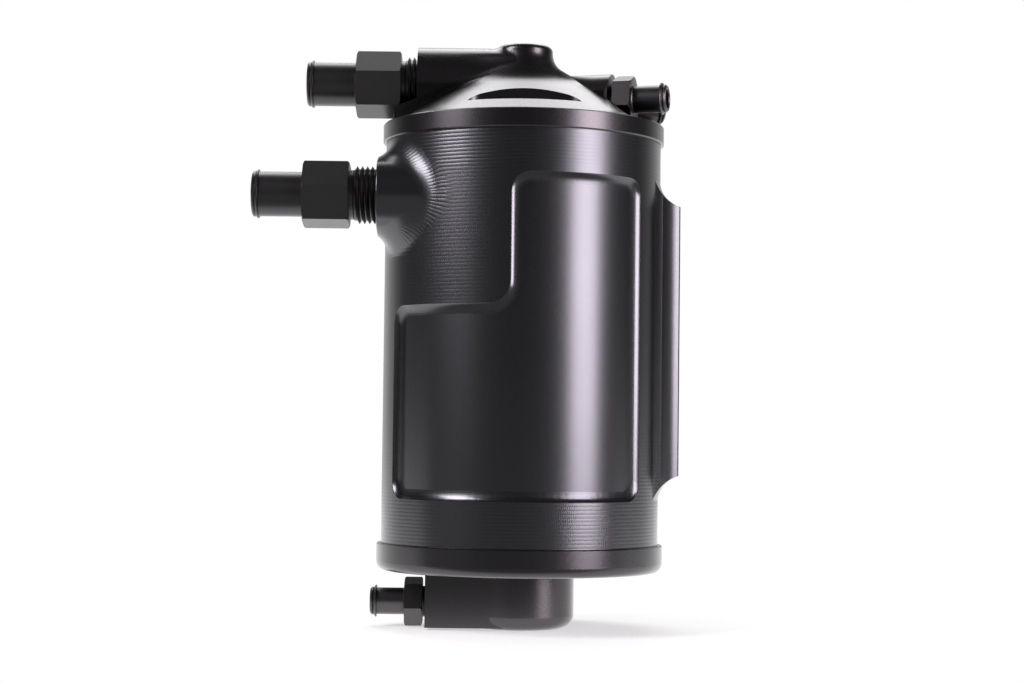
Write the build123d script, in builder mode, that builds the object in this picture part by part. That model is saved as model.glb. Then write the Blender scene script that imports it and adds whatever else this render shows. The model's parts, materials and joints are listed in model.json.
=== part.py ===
from build123d import *

import os
from collections import namedtuple
from math import acos, atan2, cos, radians, sin, sqrt

# The can stands on the foot of its drain sump at z = 0, and its axis is the Z axis.
# The hose tails for the engine's breather point towards -X, the mounting pad faces +X,
# and the milled panel faces -Y.

os.makedirs("parts", exist_ok=True)

# Clearances between mating pieces
fit_gap = 0.15
seal_gap = 0.03
thread_gap = 0.10

# Body
body_radius = 50.8
body_length = 146.9
body_wall = 6.0
edge_break = 0.4

# Panel milled into the front of the body
panel_depth = 2.5
panel_floor_fillet = 4.0
panel_corner = 7.5
panel_left_angle = 64.8
panel_right_angle = 56.4
panel_step_angle = 5.0
panel_above_bottom = 16.0
panel_below_top = 15.1
panel_step_below_top = 61.2

# Mounting pad
pad_proud = 6.8
pad_half_width = 11.4
pad_centre_above_bottom = 74.6
pad_length = 99.0
pad_blend = 11.0
blend_bite = 0.15
pad_edge_break = 0.6
pad_screw_radius = 2.5
pad_screw_spacing = 76.2
pad_screw_depth = 9.0

# Inlet boss
inlet_below_top = 21.8
inlet_from_front = 25.8
inlet_boss_radius = 13.2
inlet_boss_proud = 1.6
inlet_blend = 11.0
inlet_edge_break = 0.5
inlet_port_overrun = 1.0

# Cap
cap_overhang = 1.13
cap_ring_height = 6.7
dome_ledge = 3.2
dome_rise = 23.3
centre_boss_radius = 10.5
centre_boss_rise = 30.3
centre_boss_round = 2.2
centre_boss_wall = 0.307
cap_spigot_length = 10.0
cap_cavity_wall = 6.6
cap_cavity_depth = 13.2

# Outlet passage in the cap
outlet_above_ring = 15.5
outlet_ridge_radius = 13.9
outlet_ridge_blend = 4.5
outlet_face_inset = 11.4
outlet_passage_radius = 8.0
outlet_clearance_margin = 0.3
port_runout = 0.4

# Heating ports in the cap
port_above_ring = 9.3
port_angle = 16.0
port_ridge_radius = 9.5
port_face_inset = 17.0
port_wrench_radius = 20.5
port_passage_radius = 4.2
port_passage_end = 14.0
port_divider_gap = 0.2
port_cusp_width = 16.0

# Shelf milled into the front of the cap
shelf_above_ring = 4.5
shelf_width = 43.0
shelf_corner = 6.6
shelf_back_reach = 33.0

# Drain base
base_overhang = 1.66
base_plate_height = 10.0
base_rim_height = 6.6
base_spigot_length = 12.0
base_spigot_wall = 8.0
base_floor_thickness = 6.0
sump_drop = 20.9
sump_radius = 20.3
sump_wall = 4.5
sump_edge = 5.0
sump_floor_thickness = 3.6
funnel_height = 5.0
drain_block_inset = 17.0
drain_block_half_width = 17.3
drain_block_blend = 30.0
drain_block_clearance = 0.9
drain_height = 9.2
drain_passage_radius = 3.8

# Seals
seal_groove_width = 3.6
seal_groove_depth = 2.2
seal_ring_width = 3.0
seal_groove_setback = 3.2
seal_corner = 0.8

# Outlet tube and the separator stack that hangs on it
tube_radius = 9.4
tube_bore_radius = 7.9
tube_screw_in = 9.0
tube_hex_flats = 28.0
tube_flange_thickness = 4.0
tube_collar_radius = 13.0
tube_collar_thickness = 2.5
tube_seal_inner = 10.6
tube_seal_width = 2.2
tube_seal_depth = 1.7
stack_top_below_cap = 63.0
plate_thickness = 1.6
plate_gap = 0.5
coarse_mesh_height = 22.0
fine_mesh_height = 12.0
plate_hole_radius = 3.6
plate_inner_hole_count = 6
plate_outer_hole_count = 10
plate_inner_ring_gap = 10.1
plate_outer_ring_inset = 9.3
washer_radius = 14.5
washer_thickness = 1.2
nut_flats = 24.0
nut_height = 6.0
tube_tail = 3.0

# Splash plate over the oil
splash_plate_thickness = 1.6
splash_cone_rise = 4.0
splash_hole_inset = 6.0
splash_cone_inset = 10.5
splash_rim_gap = 0.3
splash_hole_radius = 3.2
splash_hole_count = 10
splash_screw_inset = 3.2
splash_screw_count = 3
splash_screw_radius = 1.5
splash_screw_head_radius = 2.8
splash_screw_head_height = 1.8
splash_screw_socket_flats = 2.0
splash_screw_socket_depth = 1.1
splash_screw_length = 5.0

# Strainer over the drain
strainer_depth = 4.0
strainer_thickness = 1.2
strainer_ledge = 1.6
strainer_hole_radius = 1.7
strainer_hole_ring = 9.5
strainer_inner_hole_count = 6
strainer_outer_hole_count = 12
clip_section = 1.2
clip_groove_depth = 1.0
clip_width = 2.6
clip_opening = 12.0

# Hose tails with a hexagon and a taper thread
FittingSize = namedtuple(
    "FittingSize",
    "thread_radius thread_length neck relief_radius relief_length hex_flats hex_length hex_chamfer "
    "tail_radius tail_length bead_radius bead_back bead_land groove_length lip_radius lip_length "
    "lip_chamfer bore_radius",
)
breather_size = FittingSize(
    thread_radius=9.75,
    thread_length=13.0,
    neck=6.2,
    relief_radius=8.9,
    relief_length=1.6,
    hex_flats=20.6,
    hex_length=16.5,
    hex_chamfer=0.9,
    tail_radius=8.05,
    tail_length=18.2,
    bead_radius=8.75,
    bead_back=2.3,
    bead_land=0.6,
    groove_length=0.3,
    lip_radius=8.2,
    lip_length=0.9,
    lip_chamfer=0.5,
    bore_radius=6.35,
)
inlet_size = breather_size._replace(thread_length=14.5, neck=10.0)
small_size = FittingSize(
    thread_radius=6.2,
    thread_length=8.6,
    neck=1.4,
    relief_radius=5.6,
    relief_length=1.0,
    hex_flats=15.9,
    hex_length=6.6,
    hex_chamfer=0.6,
    tail_radius=4.9,
    tail_length=12.6,
    bead_radius=5.85,
    bead_back=2.4,
    bead_land=0.6,
    groove_length=0.3,
    lip_radius=5.1,
    lip_length=0.9,
    lip_chamfer=0.6,
    bore_radius=3.5,
)
outlet_hex_turn = -14.6
inlet_hex_turn = -20.4
port_hex_turn = -10.0
drain_hex_turn = 17.0

# Heights that follow from the sizes above
body_bottom = sump_drop + base_plate_height
body_top = body_bottom + body_length
ring_top = body_top + cap_ring_height
bore_radius = body_radius - body_wall
ring_radius = body_radius + cap_overhang
base_radius = body_radius + base_overhang
inlet_height = body_top - inlet_below_top
inlet_offset = body_radius - inlet_from_front
outlet_height = ring_top + outlet_above_ring
outlet_face_reach = body_radius - outlet_face_inset
port_height = ring_top + port_above_ring
port_face_reach = body_radius - port_face_inset
port_divider_reach = port_face_reach + port_divider_gap
drain_block_reach = body_radius - drain_block_inset
pad_centre = body_bottom + pad_centre_above_bottom
pad_face = body_radius + pad_proud
inlet_face_reach = body_radius + inlet_boss_proud
dome_foot_radius = ring_radius - dome_ledge
dome_fall = dome_rise / (dome_foot_radius - centre_boss_radius)
dome_top = ring_top + dome_rise
centre_boss_top = ring_top + centre_boss_rise
centre_boss_flare_run = centre_boss_rise - dome_rise - centre_boss_round - centre_boss_wall
centre_boss_flare = centre_boss_flare_run / (sqrt(1 + dome_fall**2) - dome_fall)
cap_spigot_end = body_top - cap_spigot_length
cap_ceiling = cap_spigot_end + cap_cavity_depth
base_spigot_end = body_bottom + base_spigot_length
spigot_radius = bore_radius - fit_gap
spigot_floor_radius = spigot_radius - seal_groove_depth
inlet_wall = Plane(origin=(-inlet_face_reach, -inlet_offset, inlet_height), x_dir=(0, 0, 1), z_dir=(-1, 0, 0))
outlet_wall = Plane(origin=(-outlet_face_reach, 0, outlet_height), x_dir=(0, 0, 1), z_dir=(-1, 0, 0))
drain_wall = Plane(origin=(-drain_block_reach, 0, drain_height), x_dir=(0, 0, 1), z_dir=(-1, 0, 0))


def port_wall(side, reach=port_face_reach):
    """Plane across a heating port, side -1 at the front and +1 at the rear."""
    across = Vector(cos(radians(port_angle)), side * sin(radians(port_angle)), 0)
    return Plane(origin=across * reach + Vector(0, 0, port_height), x_dir=(0, 0, 1), z_dir=across)


def lengthwise(plane):
    """Plane that holds the given plane's axis as its Y direction."""
    return Plane(origin=plane.origin, x_dir=plane.x_dir, z_dir=plane.x_dir.cross(plane.z_dir))


def on_arc(radius, angle):
    """Point of the can's plan, its angle counted from the front towards +X."""
    return (radius * sin(radians(angle)), -radius * cos(radians(angle)))


def ring_sector(inner, outer, left, right):
    """Ring sector between two angles counted from the front towards +X."""
    with BuildSketch(Plane.XY) as sector:
        with BuildLine():
            CenterArc((0, 0), inner, right - 90, left - right)
            CenterArc((0, 0), outer, right - 90, left - right)
            Line(on_arc(inner, left), on_arc(outer, left))
            Line(on_arc(inner, right), on_arc(outer, right))
        make_face()
    return sector.sketch


def seal_ring(height, inner, outer, width):
    """Squeezed O-ring about the can's axis, given its middle height."""
    with BuildPart() as ring:
        with BuildSketch(Plane.XZ):
            with Locations(((inner + outer) / 2, height)):
                RectangleRounded(outer - inner, width, seal_corner)
        revolve(axis=Axis.Z)
    return ring.part


def hose_fitting(wall, size, hex_turn):
    """Hose tail screwed into a wall, its hexagon standing clear of it by the neck."""
    seat = wall.offset(size.neck)
    hex_corner = size.hex_flats / sqrt(3)
    chamfer_face = hex_corner - size.hex_chamfer * sqrt(3)
    tip = size.hex_length + size.tail_length
    with BuildPart() as fitting:
        with BuildSketch(seat):
            RegularPolygon(size.hex_flats / 2, 6, major_radius=False, rotation=hex_turn)
        extrude(amount=size.hex_length)
        with BuildSketch(lengthwise(seat)):
            with BuildLine():
                Polyline(
                    (0, 0),
                    (chamfer_face, 0),
                    (hex_corner, size.hex_chamfer),
                    (hex_corner, size.hex_length - size.hex_chamfer),
                    (chamfer_face, size.hex_length),
                    (0, size.hex_length),
                    close=True,
                )
            make_face()
        revolve(axis=Axis(seat.origin, seat.z_dir), mode=Mode.INTERSECT)
        with BuildSketch(lengthwise(seat)):
            with BuildLine():
                Polyline(
                    (0, -size.neck - size.thread_length),
                    (size.thread_radius, -size.neck - size.thread_length),
                    (size.thread_radius, -size.relief_length),
                    (size.relief_radius, -size.relief_length),
                    (size.relief_radius, 0),
                    (size.tail_radius, size.hex_length),
                    (size.tail_radius, tip - size.bead_back),
                    (size.bead_radius, tip - size.bead_back),
                    (size.bead_radius, tip - size.bead_back + size.bead_land),
                    (size.tail_radius, tip - size.lip_length - size.groove_length),
                    (size.lip_radius, tip - size.lip_length),
                    (size.lip_radius, tip - size.lip_chamfer),
                    (size.lip_radius - size.lip_chamfer, tip),
                    (0, tip),
                    close=True,
                )
            make_face()
        revolve(axis=Axis(seat.origin, seat.z_dir))
        with BuildSketch(seat.offset(tip)):
            Circle(size.bore_radius)
        extrude(amount=-(tip + size.neck + size.thread_length), mode=Mode.SUBTRACT)
    return fitting.part


def perforated_plate(bottom, outer, inner, thickness):
    """Disc with two rings of drain holes around the outlet tube."""
    with BuildPart() as plate:
        with BuildSketch(Plane.XY.offset(bottom)):
            Circle(outer)
            Circle(inner, mode=Mode.SUBTRACT)
            with PolarLocations(inner + plate_inner_ring_gap, plate_inner_hole_count):
                Circle(plate_hole_radius, mode=Mode.SUBTRACT)
            with PolarLocations(outer - plate_outer_ring_inset, plate_outer_hole_count):
                Circle(plate_hole_radius, mode=Mode.SUBTRACT)
        extrude(amount=thickness)
    return plate.part


def annulus(bottom, outer, inner, height):
    """Plain ring about the can's axis."""
    with BuildPart() as ring:
        with BuildSketch(Plane.XY.offset(bottom)):
            Circle(outer)
            Circle(inner, mode=Mode.SUBTRACT)
        extrude(amount=height)
    return ring.part


# Tool that mills the front panel: a tall part at the right and a lower one at the left
panel_top = body_top - panel_below_top
panel_bottom = body_bottom + panel_above_bottom
panel_step = body_top - panel_step_below_top
panel_floor = body_radius - panel_depth
tool_radius = body_radius + 3 * panel_floor_fillet
match_tolerance = 0.05

with BuildPart() as panel_tool:
    with BuildSketch(Plane.XY.offset(panel_bottom)):
        add(ring_sector(panel_floor, tool_radius, -panel_step_angle, panel_right_angle))
    extrude(amount=panel_top - panel_bottom)
    with BuildSketch(Plane.XY.offset(panel_bottom)):
        add(ring_sector(panel_floor, tool_radius, -panel_left_angle, panel_right_angle))
    extrude(amount=panel_step - panel_bottom)
    radial_edges = [
        edge
        for edge in panel_tool.edges().filter_by(GeomType.LINE)
        if abs(edge.tangent_at(0.5).Z) < match_tolerance and edge.length > 2 * panel_floor_fillet
    ]
    fillet(radial_edges, panel_corner)
    floor_edges = [
        edge
        for edge in panel_tool.edges()
        if all(abs(Vector(p.X, p.Y).length - panel_floor) < match_tolerance for p in (edge @ 0.1, edge @ 0.9))
    ]
    fillet(floor_edges, panel_floor_fillet)

# Body
pad_low = pad_centre - pad_length / 2
pad_high = pad_centre + pad_length / 2
blend_centre_radius = body_radius + pad_blend - blend_bite
blend_rise = sqrt(pad_blend**2 - (blend_centre_radius - pad_face) ** 2)
pad_corner = Vector(pad_face, -pad_half_width, 0)
corner_turn = atan2(pad_half_width, pad_face) + acos(
    (blend_centre_radius**2 + pad_corner.length**2 - pad_blend**2)
    / (2 * blend_centre_radius * pad_corner.length)
)
blend_direction = Vector(cos(corner_turn), -sin(corner_turn), 0)
blend_centre = blend_direction * blend_centre_radius
blend_root = blend_direction * (body_radius - blend_bite)
blend_halfway = (pad_corner - blend_centre) + (blend_root - blend_centre)
blend_middle = blend_centre + blend_halfway.normalized() * pad_blend
pad_plane = Plane(origin=(pad_face, 0, pad_centre), x_dir=(0, 1, 0), z_dir=(1, 0, 0))
boss_blank_reach = inlet_face_reach + 2 * inlet_blend
blank_margin = 2 * inlet_blend
boss_mill_size = 3 * (body_length + body_radius)
inlet_port_radius = inlet_size.thread_radius + thread_gap
inlet_port_break = sqrt(bore_radius**2 - (inlet_offset + inlet_port_radius) ** 2)

with BuildPart() as can_body:
    # mounting pad with its blends on all four sides
    with BuildSketch(Plane.XY.offset(pad_low - blend_rise)):
        with BuildLine() as pad_side:
            ThreePointArc(blend_root, blend_middle, pad_corner)
            mirror(about=Plane.XZ)
            Line((pad_face, -pad_half_width), (pad_face, pad_half_width))
            Line((blend_root.X, blend_root.Y), (blend_root.X, -blend_root.Y))
        make_face()
    extrude(amount=pad_length + 2 * blend_rise)
    with BuildSketch(Plane.XZ):
        for blend_height in (pad_low - blend_rise, pad_high + blend_rise):
            with Locations((blend_centre_radius, blend_height)):
                Circle(pad_blend)
    revolve(axis=Axis.Z, mode=Mode.SUBTRACT)
    fillet(can_body.faces().sort_by(Axis.X)[-1].edges(), pad_edge_break)
    # turned blank, longer than the can, with the inlet boss blended into it
    with BuildSketch(Plane.XY.offset(body_bottom - blank_margin)):
        Circle(body_radius)
    extrude(amount=body_length + 2 * blank_margin)
    with BuildSketch(Plane.YZ):
        with Locations((-inlet_offset, inlet_height)):
            Circle(inlet_boss_radius)
    extrude(amount=-boss_blank_reach)
    boss_root = can_body.edges().filter_by(GeomType.BSPLINE).sort_by(Axis.X)[0]
    fillet(boss_root, inlet_blend)
    # boss faced off, its rim broken, and the can cut to length
    with BuildSketch(Plane.YZ.offset(-inlet_face_reach)):
        Rectangle(boss_mill_size, boss_mill_size)
    extrude(amount=-boss_blank_reach, mode=Mode.SUBTRACT)
    fillet(can_body.faces().sort_by(Axis.X)[0].outer_wire().edges(), inlet_edge_break)
    with BuildSketch(Plane.XY.offset(body_top)):
        Circle(2 * body_radius)
    extrude(amount=2 * blank_margin, mode=Mode.SUBTRACT)
    with BuildSketch(Plane.XY.offset(body_bottom)):
        Circle(2 * body_radius)
    extrude(amount=-2 * blank_margin, mode=Mode.SUBTRACT)
    # front panel
    add(panel_tool.part, mode=Mode.SUBTRACT)
    # bore, inlet port and the pad's blind screw holes
    with BuildSketch(Plane.XY.offset(body_bottom)):
        Circle(bore_radius)
    extrude(amount=body_length, mode=Mode.SUBTRACT)
    with BuildSketch(inlet_wall):
        Circle(inlet_port_radius)
    extrude(amount=inlet_port_break - inlet_face_reach - inlet_port_overrun, mode=Mode.SUBTRACT)
    with BuildSketch(pad_plane):
        with Locations((0, -pad_screw_spacing / 2), (0, pad_screw_spacing / 2)):
            Circle(pad_screw_radius)
    extrude(amount=-pad_screw_depth, mode=Mode.SUBTRACT)

can_body.part.label = "can_body"
export_step(can_body.part, "parts/can_body.step")

# Cap
cap_cavity_radius = spigot_radius - cap_cavity_wall
cap_groove = cap_spigot_end + seal_groove_setback
dome_blank_radius = ring_radius + outlet_ridge_radius
dome_blank_bottom = ring_top - (dome_blank_radius - dome_foot_radius) * dome_fall
outlet_clearance_radius = outlet_ridge_radius + outlet_clearance_margin
port_sides = (-1, 1)
port_centres = [port_wall(side).origin for side in port_sides]
wrench_centres = [port_wall(side, port_face_reach + port_wrench_radius).origin for side in port_sides]

with BuildPart() as top_cap:
    # dome that flares up into the centre boss, wider than the can
    with BuildSketch(Plane.XZ) as dome_profile:
        with BuildLine():
            Polyline(
                (0, dome_blank_bottom),
                (0, centre_boss_top),
                (centre_boss_radius, centre_boss_top),
                (centre_boss_radius, dome_top),
                (dome_blank_radius, dome_blank_bottom),
                close=True,
            )
        make_face()
        boss_corner = dome_profile.vertices().group_by(Axis.Y)[-1].sort_by(Axis.X)[-1]
        fillet(boss_corner, centre_boss_round)
        boss_foot = dome_profile.vertices().sort_by_distance((centre_boss_radius, dome_top))[0]
        fillet(boss_foot, centre_boss_flare)
    revolve(axis=Axis.Z)
    # ridge over the outlet passage, blended into the dome and the boss
    with BuildSketch(Plane.YZ):
        with Locations((0, outlet_height)):
            Circle(outlet_ridge_radius)
    extrude(amount=-dome_blank_radius)
    fillet(top_cap.edges().filter_by(GeomType.BSPLINE), outlet_ridge_blend)
    # dome trimmed to its foot, and the ridge back to the outlet's wall
    with BuildSketch(Plane.XY.offset(ring_top)):
        Circle(dome_foot_radius)
    extrude(amount=centre_boss_rise, mode=Mode.INTERSECT)
    with BuildSketch(outlet_wall):
        Circle(outlet_clearance_radius)
    extrude(amount=dome_blank_radius - outlet_face_reach, mode=Mode.SUBTRACT)
    # turned ring and spigot with its seal groove
    with BuildSketch(Plane.XZ):
        with BuildLine():
            Polyline(
                (0, cap_spigot_end),
                (spigot_radius - edge_break, cap_spigot_end),
                (spigot_radius, cap_spigot_end + edge_break),
                (spigot_radius, cap_groove),
                (spigot_floor_radius, cap_groove),
                (spigot_floor_radius, cap_groove + seal_groove_width),
                (spigot_radius, cap_groove + seal_groove_width),
                (spigot_radius, body_top),
                (ring_radius - edge_break, body_top),
                (ring_radius, body_top + edge_break),
                (ring_radius, ring_top - edge_break),
                (ring_radius - edge_break, ring_top),
                (0, ring_top),
                close=True,
            )
        make_face()
    revolve(axis=Axis.Z)
    # ridges over the two heating ports, filled in between
    for side in port_sides:
        with BuildSketch(port_wall(side)):
            Circle(port_ridge_radius)
        extrude(amount=-port_face_reach)
    with BuildSketch(Plane.XY.offset(ring_top)):
        with BuildLine():
            Polyline((0, 0), *[(centre.X, centre.Y) for centre in port_centres], close=True)
        make_face()
    extrude(amount=port_above_ring + port_ridge_radius)
    # room for a wrench round each port, and the cusp between them milled back
    with BuildSketch(Plane.XY.offset(ring_top)):
        with Locations(*[(centre.X, centre.Y) for centre in wrench_centres]):
            Circle(port_wrench_radius)
        with Locations((port_divider_reach, 0)):
            Rectangle(ring_radius, port_cusp_width, align=(Align.MIN, Align.CENTER))
    extrude(amount=centre_boss_rise, mode=Mode.SUBTRACT)
    # shelf in the front
    with BuildSketch(Plane.XY.offset(ring_top + shelf_above_ring)):
        with Locations((0, -shelf_back_reach)):
            RectangleRounded(shelf_width, 2 * shelf_back_reach, shelf_corner, align=(Align.CENTER, Align.MAX))
    extrude(amount=centre_boss_rise, mode=Mode.SUBTRACT)
    # room under the cap
    with BuildSketch(Plane.XY.offset(cap_spigot_end)):
        Circle(cap_cavity_radius)
    extrude(amount=cap_cavity_depth, mode=Mode.SUBTRACT)
    # outlet: thread, cross passage and the way up from the tube
    with BuildSketch(outlet_wall):
        Circle(breather_size.thread_radius + thread_gap)
    extrude(amount=-breather_size.thread_length - port_runout, mode=Mode.SUBTRACT)
    with BuildSketch(outlet_wall):
        Circle(outlet_passage_radius)
    extrude(amount=-outlet_face_reach, mode=Mode.SUBTRACT)
    with BuildSketch(Plane.XY.offset(cap_ceiling)):
        Circle(outlet_passage_radius)
    extrude(amount=outlet_height - cap_ceiling, mode=Mode.SUBTRACT)
    with Locations((0, 0, outlet_height)):
        Sphere(outlet_passage_radius, mode=Mode.SUBTRACT)
    with BuildSketch(Plane.XY.offset(cap_ceiling)):
        Circle(tube_radius + thread_gap)
    extrude(amount=tube_screw_in + port_runout, mode=Mode.SUBTRACT)
    # heating ports: spot face, thread and the passage that joins them
    for side in port_sides:
        with BuildSketch(port_wall(side)):
            Circle(port_above_ring)
        extrude(amount=port_wrench_radius, mode=Mode.SUBTRACT)
        with BuildSketch(port_wall(side)):
            Circle(small_size.thread_radius + thread_gap)
        extrude(amount=-small_size.thread_length - port_runout, mode=Mode.SUBTRACT)
        with BuildSketch(port_wall(side)):
            Circle(port_passage_radius)
        extrude(amount=port_passage_end - port_face_reach, mode=Mode.SUBTRACT)

top_cap.part.label = "top_cap"
export_step(top_cap.part, "parts/top_cap.step")

# Drain base
base_underside = sump_drop
base_rim_round = base_plate_height - base_rim_height
base_round_centre = (base_radius - base_rim_round, base_underside + base_rim_round)
base_spigot_inner = spigot_radius - base_spigot_wall
base_groove = base_spigot_end - seal_groove_setback - seal_groove_width
sump_bore_radius = sump_radius - sump_wall
sump_mouth = base_underside + base_floor_thickness
strainer_seat = sump_mouth - strainer_depth
strainer_seat_radius = sump_bore_radius + strainer_ledge
clip_groove = strainer_seat + strainer_thickness
clip_groove_radius = strainer_seat_radius + clip_groove_depth
sump_foot_radius = sump_radius - sump_edge
splash_screw_ring = base_spigot_inner + splash_screw_inset

with BuildPart() as drain_base:
    # turned blank: the sump's rounded foot, a core, the plate and the spigot with its seal groove
    with BuildSketch(Plane.XZ):
        with BuildLine():
            Line((0, 0), (sump_foot_radius, 0))
            CenterArc((sump_foot_radius, sump_edge), sump_edge, -90, 90)
            Polyline(
                (sump_radius, sump_edge),
                (sump_foot_radius, sump_edge),
                (sump_foot_radius, base_underside),
                (base_radius - base_rim_round, base_underside),
            )
            CenterArc(base_round_centre, base_rim_round, -90, 90)
            Polyline(
                (base_radius, base_underside + base_rim_round),
                (base_radius, body_bottom - edge_break),
                (base_radius - edge_break, body_bottom),
                (spigot_radius, body_bottom),
                (spigot_radius, base_groove),
                (spigot_floor_radius, base_groove),
                (spigot_floor_radius, base_groove + seal_groove_width),
                (spigot_radius, base_groove + seal_groove_width),
                (spigot_radius, base_spigot_end - edge_break),
                (spigot_radius - edge_break, base_spigot_end),
                (0, base_spigot_end),
                (0, 0),
            )
        make_face()
    revolve(axis=Axis.Z)
    # round sump with the drain block run into it by a wide hollow on each side
    with BuildSketch(Plane.XY.offset(sump_edge)) as block_plan:
        Circle(sump_radius)
        Rectangle(drain_block_reach, 2 * drain_block_half_width, align=(Align.MAX, Align.CENTER))
        fillet(block_plan.vertices().sort_by(Axis.X)[2:4], drain_block_blend)
    extrude(amount=base_underside - sump_edge)
    with BuildSketch(Plane.XY.offset(drain_block_clearance)):
        Rectangle(drain_block_reach, 2 * drain_block_half_width, align=(Align.MAX, Align.CENTER))
    extrude(amount=sump_edge - drain_block_clearance)
    # oil room with its funnel floor, the strainer's seat, the clip's groove and the sump
    with BuildSketch(Plane.XZ):
        with BuildLine():
            Polyline(
                (0, sump_floor_thickness),
                (sump_bore_radius, sump_floor_thickness),
                (sump_bore_radius, strainer_seat),
                (strainer_seat_radius, strainer_seat),
                (strainer_seat_radius, clip_groove),
                (clip_groove_radius, clip_groove),
                (clip_groove_radius, clip_groove + clip_section),
                (strainer_seat_radius, clip_groove + clip_section),
                (strainer_seat_radius, sump_mouth),
                (base_spigot_inner, sump_mouth + funnel_height),
                (base_spigot_inner, base_spigot_end),
                (0, base_spigot_end),
                close=True,
            )
        make_face()
    revolve(axis=Axis.Z, mode=Mode.SUBTRACT)
    # tapped holes for the splash plate
    with BuildSketch(Plane.XY.offset(base_spigot_end)):
        with PolarLocations(splash_screw_ring, splash_screw_count):
            Circle(splash_screw_radius)
    extrude(amount=-splash_screw_length - port_runout, mode=Mode.SUBTRACT)
    # drain port
    with BuildSketch(drain_wall):
        Circle(small_size.thread_radius + thread_gap)
    extrude(amount=-small_size.thread_length - port_runout, mode=Mode.SUBTRACT)
    with BuildSketch(drain_wall):
        Circle(drain_passage_radius)
    extrude(amount=-drain_block_reach, mode=Mode.SUBTRACT)

drain_base.part.label = "drain_base"
export_step(drain_base.part, "parts/drain_base.step")

# Hose tails
fittings = {
    "inlet_fitting": hose_fitting(inlet_wall, inlet_size, inlet_hex_turn),
    "outlet_fitting": hose_fitting(outlet_wall, breather_size, outlet_hex_turn),
    "front_port_fitting": hose_fitting(port_wall(-1), small_size, port_hex_turn),
    "rear_port_fitting": hose_fitting(port_wall(1), small_size, port_hex_turn),
    "drain_fitting": hose_fitting(drain_wall, small_size, drain_hex_turn),
}
for name, fitting in fittings.items():
    fitting.label = name
    export_step(fitting, f"parts/{name}.step")

# Seals of the cap and the base
seal_inner = spigot_floor_radius + seal_gap
seal_outer = bore_radius - seal_gap
seal_rings = {
    "cap_o_ring": seal_ring(cap_groove + seal_groove_width / 2, seal_inner, seal_outer, seal_ring_width),
    "base_o_ring": seal_ring(base_groove + seal_groove_width / 2, seal_inner, seal_outer, seal_ring_width),
}
for name, ring in seal_rings.items():
    ring.label = name
    export_step(ring, f"parts/{name}.step")

# Outlet tube, screwed into the cap by its hexagon
stack_top = cap_ceiling - stack_top_below_cap
upper_baffle_bottom = stack_top - plate_thickness
middle_baffle_bottom = upper_baffle_bottom - coarse_mesh_height - plate_thickness
lower_baffle_bottom = middle_baffle_bottom - fine_mesh_height - plate_thickness
washer_bottom = lower_baffle_bottom - washer_thickness
nut_bottom = washer_bottom - nut_height
tube_end = nut_bottom - tube_tail
tube_flange_bottom = cap_ceiling - tube_flange_thickness
tube_seal_outer = tube_seal_inner + tube_seal_width

with BuildPart() as outlet_tube:
    with BuildSketch(Plane.XY.offset(tube_end)):
        Circle(tube_radius)
    extrude(amount=cap_ceiling + tube_screw_in - tube_end)
    with BuildSketch(Plane.XY.offset(tube_flange_bottom)):
        RegularPolygon(tube_hex_flats / 2, 6, major_radius=False)
    extrude(amount=tube_flange_thickness)
    with BuildSketch(Plane.XY.offset(stack_top)):
        Circle(tube_collar_radius)
    extrude(amount=tube_collar_thickness)
    with BuildSketch(Plane.XY.offset(cap_ceiling)):
        Circle(tube_seal_outer + seal_gap)
        Circle(tube_seal_inner - seal_gap, mode=Mode.SUBTRACT)
    extrude(amount=-tube_seal_depth, mode=Mode.SUBTRACT)
    with BuildSketch(Plane.XY.offset(tube_end)):
        Circle(tube_bore_radius)
    extrude(amount=cap_ceiling + tube_screw_in - tube_end, mode=Mode.SUBTRACT)
    tube_top_edges = outlet_tube.edges().filter_by(GeomType.CIRCLE).group_by(Axis.Z)[-1]
    chamfer(tube_top_edges.sort_by(SortBy.RADIUS)[-1], edge_break)

outlet_tube.part.label = "outlet_tube"
export_step(outlet_tube.part, "parts/outlet_tube.step")

tube_o_ring = seal_ring(
    cap_ceiling - tube_seal_depth / 2, tube_seal_inner, tube_seal_outer, tube_seal_depth - 2 * seal_gap
)
tube_o_ring.label = "tube_o_ring"
export_step(tube_o_ring, "parts/tube_o_ring.step")

# Separator stack: three perforated plates that hold two rings of wire mesh, clamped by a nut
plate_radius = bore_radius - plate_gap
plate_bore = tube_radius + fit_gap
coarse_mesh_bottom = middle_baffle_bottom + plate_thickness
fine_mesh_bottom = lower_baffle_bottom + plate_thickness
stack = {
    "upper_baffle": perforated_plate(upper_baffle_bottom, plate_radius, plate_bore, plate_thickness),
    "coarse_mesh": annulus(coarse_mesh_bottom, plate_radius, plate_bore, coarse_mesh_height),
    "middle_baffle": perforated_plate(middle_baffle_bottom, plate_radius, plate_bore, plate_thickness),
    "fine_mesh": annulus(fine_mesh_bottom, plate_radius, plate_bore, fine_mesh_height),
    "lower_baffle": perforated_plate(lower_baffle_bottom, plate_radius, plate_bore, plate_thickness),
    "baffle_washer": annulus(washer_bottom, washer_radius, plate_bore, washer_thickness),
}
for name, layer in stack.items():
    layer.label = name
    export_step(layer, f"parts/{name}.step")

with BuildPart() as baffle_nut:
    with BuildSketch(Plane.XY.offset(nut_bottom)):
        RegularPolygon(nut_flats / 2, 6, major_radius=False)
        Circle(tube_radius + thread_gap, mode=Mode.SUBTRACT)
    extrude(amount=nut_height)

baffle_nut.part.label = "baffle_nut"
export_step(baffle_nut.part, "parts/baffle_nut.step")

# Splash plate on the base spigot, coned so that oil runs outwards to its holes
splash_radius = bore_radius - splash_rim_gap
splash_hole_ring = base_spigot_inner - splash_hole_inset
splash_cone_radius = base_spigot_inner - splash_cone_inset

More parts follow.
